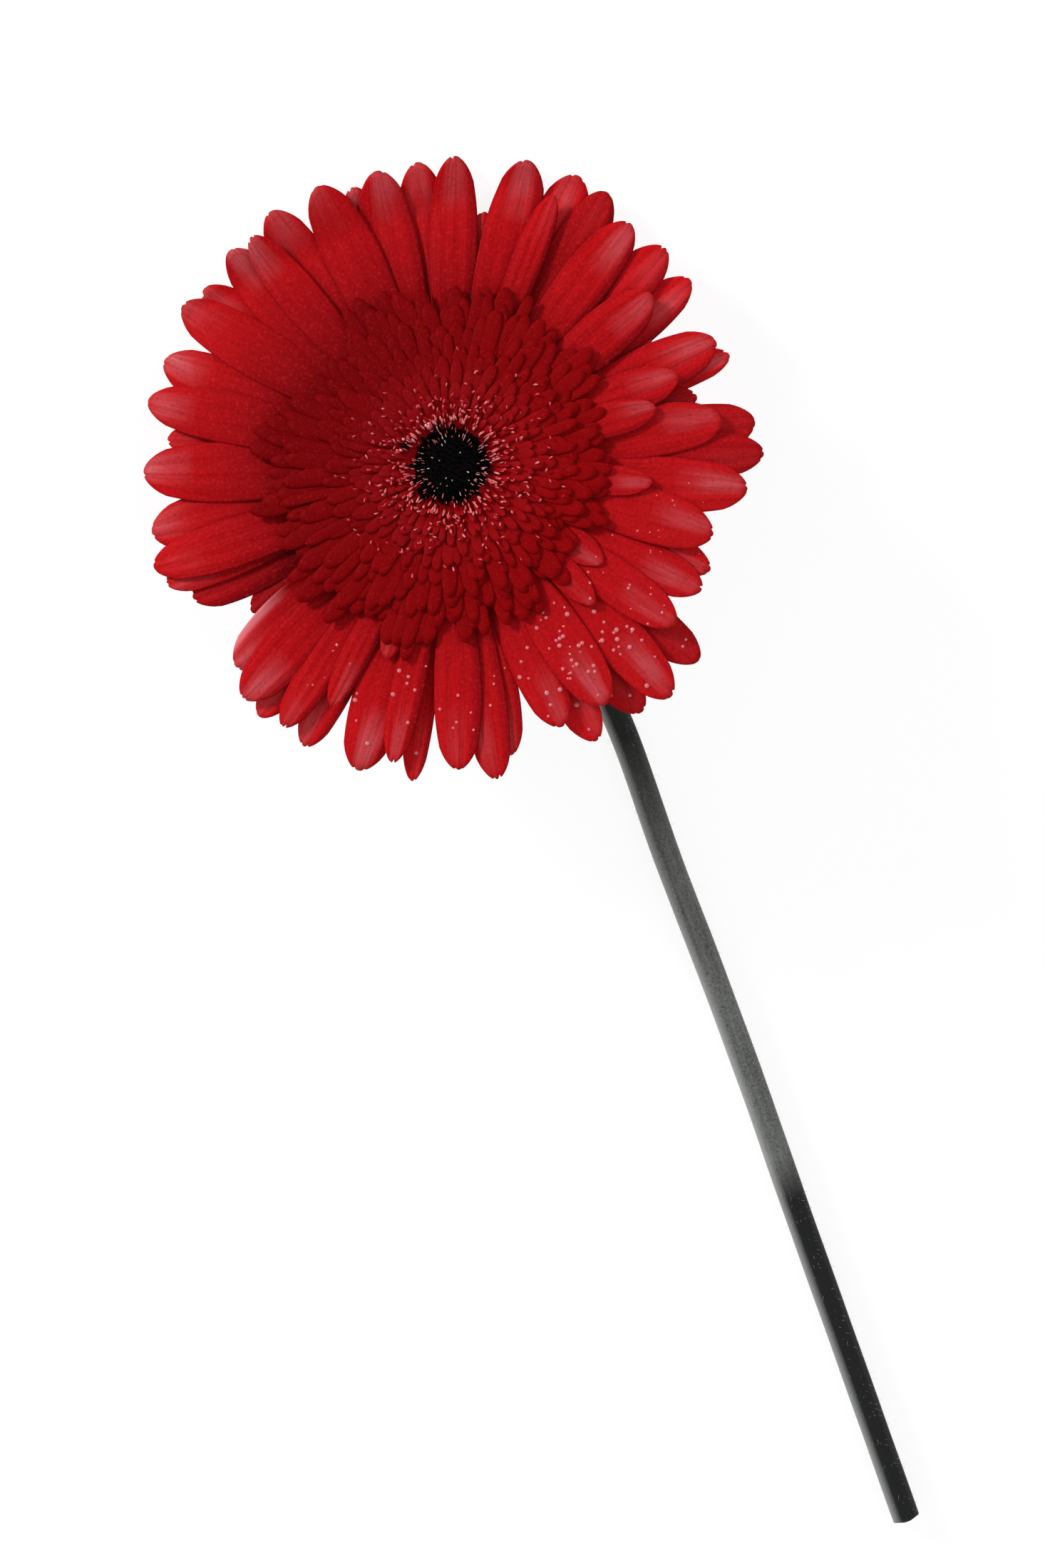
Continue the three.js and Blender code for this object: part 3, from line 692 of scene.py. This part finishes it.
bract_green = bract_finish()
cup = lathed(CUP, CUP_SIDES, {"along": 0.3, "across": 0})
bract_green.on(piece_of("involucre_cup", *cup, "involucre", "bract_green"))
for row, (count, *shape) in enumerate(BRACT_ROWS):
    clocks = (np.arange(count) + row % 2 / 2) * 360 / count
    sheets = [bract(clock, *shape, rng) for clock in clocks]
    bract_green.on(sheet_piece(f"bracts_{row + 1}", sheets, "involucre", "bract_green"))

# ---------------------------------------------------------------------------------------
# Stem: the leafless scape, firm and finely ribbed, with short pale hairs. It bends over
# at the neck, lies along the surface and ends in a slanting cut that shows the paler
# flesh round the hollow pith.
# ---------------------------------------------------------------------------------------

# places down its middle line: x and y from the middle of the face, height above the surface
SCAPE_ROUTE = [
    (0.2, -8.5, 6.2), (0.9, -11.4, 4.2), (3.2, -18.5, 3.1), (7.4, -33, 2.9),
    (11.3, -49, 2.8), (13.3, -68, 2.7), (13.5, -98, 2.7), (14.2, -124.5, 2.6),
    (14.6, -151.5, 2.6), (14.6, -179, 2.6), (14.8, -215, 2.6), (15.0, -260, 2.6),
]
SCAPE_TOP = -15.9  # the height on the bloom's axis where it starts, just behind the cup
SCAPE_RADII = [(0, 2.3), (1 / 6, 2.6), (0.5, 2.6), (1, 2.75)]  # (share of the length, radius)
SCAPE_SIDES, SCAPE_RINGS = 56, 260
SCAPE_RIBS, RIB_DEEP, SCAPE_UNEVEN = 14, 0.022, 0.006
CURVE_STEPS = 40
CUT_SLANT = math.tan(math.radians(25))
PITH_RADIUS, PITH_DEPTH = 1.1, 5.5
CUT_RADIUS = 2.7  # about the stem's radius at the cut
CUT_INWARDS = (0.96, 0.86, 0.7, PITH_RADIUS / CUT_RADIUS)
PITH_STEPS = (0.25, 0.6, 1)
FLESH = [0.15, 0.7, 1, 1, 0.6, 0.3, 0]  # how pale the rings of the cut and the pith are
HAIRS, HAIR_RADIUS, HAIR_SPREAD, HAIR_SUNK = 1500, 0.022, 0.35, 0.1
FIBRE_SCALE = (1500, 60, 1500)


def through(points, count):
    """Evenly spaced places on the centripetal curve through the points."""
    points = np.array([2 * points[0] - points[1], *points, 2 * points[-1] - points[-2]])
    curve = []
    for p0, p1, p2, p3 in zip(points, points[1:], points[2:], points[3:]):
        t1 = np.linalg.norm(p1 - p0) ** 0.5
        t2 = t1 + np.linalg.norm(p2 - p1) ** 0.5
        t3 = t2 + np.linalg.norm(p3 - p2) ** 0.5
        t = np.linspace(t1, t2, CURVE_STEPS, endpoint=False)[:, None]
        a1 = p0 + (p1 - p0) * t / t1
        a2 = p1 + (p2 - p1) * (t - t1) / (t2 - t1)
        a3 = p2 + (p3 - p2) * (t - t2) / (t3 - t2)
        b1 = a1 + (a2 - a1) * t / t2
        b2 = a2 + (a3 - a2) * (t - t1) / (t3 - t1)
        curve.append(b1 + (b2 - b1) * (t - t1) / (t2 - t1))
    curve = np.concatenate([*curve, points[-2:-1]])
    walked = np.concatenate([[0], np.cumsum(np.linalg.norm(np.diff(curve, axis=0), axis=1))])
    wanted = np.linspace(0, walked[-1], count)
    return np.stack([np.interp(wanted, walked, curve[:, i]) for i in range(3)], -1)


def along_scape(line):
    """Where the stem heads at each place of its middle line, and what is aside and up there."""
    heading = np.gradient(line, axis=0)
    heading[0] = -OUT
    heading /= np.linalg.norm(heading, axis=1)[:, None]
    aside = SIDE - heading * heading[:, :1]
    aside /= np.linalg.norm(aside, axis=1)[:, None]
    up = np.cross(heading, -aside)
    up *= np.sign(up[-1, 2])
    return heading, aside, up


def stem_finish():
    """Fibrous charcoal grey with pale flesh at the cut, painted shade under the bloom and far down,
    and a painted highlight on the side towards the light.
    """
    finish = Finish("stem_skin")
    down, shade, section = finish.mark("down"), finish.mark("shade"), finish.mark("cut")
    stretched = {0: finish.place(), 1: FIBRE_SCALE}
    fibres_at = finish.add("VectorMath", {"operation": "MULTIPLY"}, stretched)
    fibres = finish.noise(1, 3, fibres_at)
    mottle = finish.noise(220, 3)
    stipple = finish.noise(1900, 2)
    grey = finish.mix(fibres.between(0.3, 0.7), colour("5b5d5a"), colour("737571"))
    grey = finish.mix(mottle.between(0.5, 0.75) * 0.25, grey, colour("7c7d7a"))
    grey = finish.mix(stipple.between(0.55, 0.75) * 0.35, grey, colour("9a9b98"))
    grey = finish.mix(stipple.between(0.45, 0.25) * 0.6, grey, colour("121413"))
    # painted shadow of the bloom on the stem near the neck
    grey = finish.mix((1 - down.between(0.255, 0.385)) * 0.93, grey, colour("171918"))
    # painted shade over the far part of the stem
    grey = finish.mix(down.between(0.635, 0.675) * 0.97, grey, colour("1d1f1e"))
    # painted highlight along the side of the stem towards the light
    grey = finish.mix((1 - shade.between(0.04, 0.3)) * 0.6, grey, colour("b0b2af"))
    flesh = finish.mix(fibres.between(0.3, 0.7), colour("a9aba2"), colour("c2c4ba"))
    skin_and_flesh = finish.mix(section.between(0.1, 0.6), grey, flesh)
    finish.looks(Base_Color=skin_and_flesh, Roughness=0.48 + 0.2 * fibres)
    finish.looks(Specular_IOR_Level=0.1)
    finish.bump(fibres + mottle * 0.5 + stipple * 0.5, 0.35, 0.0002)
    return finish


under_face = np.array([HEAD[0], HEAD[1], 0])
route = [np.array(place) + under_face for place in SCAPE_ROUTE]
line = through([HEAD + SCAPE_TOP * OUT, *route], SCAPE_RINGS)
heading, aside, up = along_scape(line)
share = np.linspace(0, 1, SCAPE_RINGS)[:, None]
turn = np.arange(SCAPE_SIDES)[None, :] * 2 * np.pi / SCAPE_SIDES
grooves = RIB_DEEP * (1 - np.abs(np.cos(turn * SCAPE_RIBS / 2)))
radius = np.interp(share, *zip(*SCAPE_RADII))
radius = radius * (1 - grooves + SCAPE_UNEVEN * np.sin(share * 60 + 2 * turn))
skin = line[:, None] + (radius * np.cos(turn))[..., None] * aside[:, None]
skin = skin + (radius * np.sin(turn))[..., None] * up[:, None]
skin[-1] -= (CUT_SLANT * radius[-1:] * np.sin(turn))[0][:, None] * heading[-1]
skin[..., 2] = np.maximum(skin[..., 2], 0)

end = skin[-1].mean(0)
cut = [end + (skin[-1] - end) * inwards for inwards in CUT_INWARDS]
pith = [cut[-1] - heading[-1] * PITH_DEPTH * depth for depth in PITH_STEPS]
rings = np.concatenate([skin, np.array(cut + pith)])
grid = np.arange(rings.shape[0] * SCAPE_SIDES).reshape(-1, SCAPE_SIDES)
marks = {
    "cut": [np.repeat(np.concatenate([np.zeros(SCAPE_RINGS), FLESH]), SCAPE_SIDES)],
    "shade": [np.tile(0.5 + 0.5 * np.cos(turn[0]), rings.shape[0])],
    "down": [np.repeat(np.concatenate([share[:, 0], np.ones(len(FLESH))]), SCAPE_SIDES)],
}
faces = [walls_of(grid, turned=True), [grid[0, ::-1], grid[-1]]]
stem = piece_of("stem_skin", [rings.reshape(-1, 3)], faces, marks, "stem", "stem_skin")
stem_skin = stem_finish()
stem_skin.on(stem)

hairs = []
hair_rings, hair_sides = rng.integers(8, SCAPE_RINGS - 2, HAIRS), rng.integers(0, SCAPE_SIDES, HAIRS)
for ring, side in zip(hair_rings, hair_sides):
    foot = skin[ring, side]
    outward = foot - line[ring]
    if outward[2] < -1.2:
        continue
    outward = outward / np.linalg.norm(outward) + HAIR_SPREAD * rng.normal(size=3)
    tip = foot + rng.uniform(0.35, 0.8) * outward
    hairs.append((foot - HAIR_SUNK * outward, tip, HAIR_RADIUS, 0))
hair_pale = grained("hair_pale", 800, 1, "b9bab6", "d8d9d5", (0.5, 0.2))
hair_profile = [(0, 1), (0.5, 0.7), (1, 0.2)]
hair_pale.on(spindle_piece("stem_hairs", hairs, hair_profile, 3, None, "stem_skin"))

# ---------------------------------------------------------------------------------------
# Drops: small beads of water that stand on the petals from the bloom's right side round
# past its bottom, each a shallow dome held round by its own surface.
# ---------------------------------------------------------------------------------------

# (clock angle, reach, how many, radius) of each patch of beads
DROPS = [
    (99, 44, 8, 0.16), (111, 43, 10, 0.18), (124, 41, 18, 0.24), (136, 40, 26, 0.34),
    (148, 40, 38, 0.3), (157, 43, 11, 0.4), (168, 44, 7, 0.26), (178, 44, 6, 0.34),
    (190, 42, 7, 0.27), (197, 43, 8, 0.34), (212, 39, 7, 0.2),
]
DROP_SCATTER = (2.8, 6.5)  # of the clock angle and the reach
DROP_NEAR = 0.6  # how near a bead's place a point of a petal has to be
DROP_HIGHEST = 3.2
DROP_SIDES = 12
DROP_FLAT, DROP_SUNK = 0.7, 0.05


def drop_rings(spot, clock, size):
    """Rings of places of one bead, from where it stands to its top."""
    rise = np.linspace(0, np.pi / 2, 6)[:-1][:, None]
    around = np.arange(DROP_SIDES)[None, :] * 2 * np.pi / DROP_SIDES
    flat = size * np.cos(rise)
    high = DROP_FLAT * size * np.sin(rise) - DROP_SUNK
    ring = (flat * np.cos(around))[..., None] * towards(clock)
    ring = ring + (flat * np.sin(around))[..., None] * towards(clock + 90)
    return spot + ring + high[..., None] * OUT


petal_spots = np.concatenate([ray["front"][4:-2, 2:-2].reshape(-1, 3) for ray in rays])
spot_up = (petal_spots - HEAD) @ OUT
spot_flat = petal_spots - HEAD - spot_up[:, None] * OUT
places, faces, count = [], [], 0
patches = [(clock, reach, usual) for clock, reach, many, usual in DROPS for _ in range(many)]
for clock, reach, usual in patches:
    clock, reach = rng.normal(clock, DROP_SCATTER[0]), rng.normal(reach, DROP_SCATTER[1])
    size = usual * rng.uniform(0.6, 1.4)
    near = np.linalg.norm(spot_flat - reach * towards(clock), axis=1) < DROP_NEAR
    if not near.any():
        continue
    spot = petal_spots[near][spot_up[near].argmax()]
    if (spot - HEAD) @ OUT > DROP_HIGHEST:
        continue
    rings = drop_rings(spot, clock, size)
    grid = np.arange(rings.shape[0] * DROP_SIDES).reshape(-1, DROP_SIDES) + count
    faces += [walls_of(grid), [grid[0], grid[-1, ::-1]]]
    places.append(rings.reshape(-1, 3))
    count += grid.size
# the beads' pale pink is painted: it stands in for the red petal seen through clear water and the
# light caught in it
bead = grained("water_bead", 700, 1, "c4525a", "d4777c", (0.1, 0.06))
bead.looks(Specular_IOR_Level=0.5)
bead.on(piece_of("water_beads", places, faces, {}, None, None))

# ---------------------------------------------------------------------------------------
# Surface, light and camera: a plain pale surface, a small soft light from the upper left
# with a wide weak one from the right, and the camera square to the bloom's face.
# ---------------------------------------------------------------------------------------

FLOOR_REACH, FLOOR_UNDER = 3, 0.0002  # metres, as are the lights' sizes and distances
PAPER_GLOW, AIR_GLOW = 0.87, 0.58
FRAME_SIZE = (1466, 2200)
HEAD_PIXEL = (634, 656)
MM_PER_PIXEL = 0.124
CAMERA_AWAY = 800
SENSOR = 36


def stand(thing, x, y, z, place):
    """Places a light or camera so that its own axes point along x, y and z."""
    rows = [(x[i], y[i], z[i], place[i]) for i in range(3)]
    thing.matrix_world = Matrix([*rows, (0, 0, 0, 1)])


def softbox(name, clock, tilt, away, size, power):
    """A round soft light that faces the bloom, tilted off its axis towards a clock angle."""
    light = bpy.data.lights.new(name, "AREA")
    light.shape, light.size, light.energy = "DISK", size, power
    lamp = bpy.data.objects.new(name, light)
    bpy.context.collection.objects.link(lamp)
    back = math.sin(math.radians(tilt)) * towards(clock) + math.cos(math.radians(tilt)) * OUT
    level = towards(clock + 90)
    stand(lamp, level, np.cross(back, level), back, HEAD * MM + away * back)


mesh = bpy.data.meshes.new("surface")
ends = [(-1, -1), (1, -1), (1, 1), (-1, 1)]
corners = [(FLOOR_REACH * x, FLOOR_REACH * y, -FLOOR_UNDER) for x, y in ends]
mesh.from_pydata(corners, [], [(0, 1, 2, 3)])
surface = bpy.data.objects.new("surface", mesh)
bpy.context.collection.objects.link(surface)
paper = grained("pale_surface", 40, 2, "6f6f6f", "727272", (0.8, 0.1))
paper.looks(Emission_Color=colour("ffffff"), Emission_Strength=PAPER_GLOW)
paper.on(surface)

right, top = towards(90), towards(0)
aim = HEAD + MM_PER_PIXEL * (FRAME_SIZE[0] / 2 - HEAD_PIXEL[0]) * right
aim = aim - MM_PER_PIXEL * (FRAME_SIZE[1] / 2 - HEAD_PIXEL[1]) * top
lens = bpy.data.cameras.new("camera")
lens.sensor_fit = "VERTICAL"
lens.sensor_height = SENSOR
lens.lens = SENSOR * CAMERA_AWAY / (FRAME_SIZE[1] * MM_PER_PIXEL)
camera = bpy.data.objects.new("camera", lens)
bpy.context.collection.objects.link(camera)
stand(camera, right, top, OUT, (aim + CAMERA_AWAY * OUT) * MM)
bpy.context.scene.camera = camera

softbox("key", clock=300, tilt=47, away=1.3, size=0.24, power=12)
softbox("fill", clock=80, tilt=35, away=1.6, size=1.2, power=3)
world = bpy.data.worlds.new("studio")
world.use_nodes = True
world.node_tree.nodes["Background"].inputs["Color"].default_value = (1, 1, 1, 1)
world.node_tree.nodes["Background"].inputs["Strength"].default_value = AIR_GLOW
bpy.context.scene.world = world
bpy.context.scene.view_settings.view_transform = "Standard"
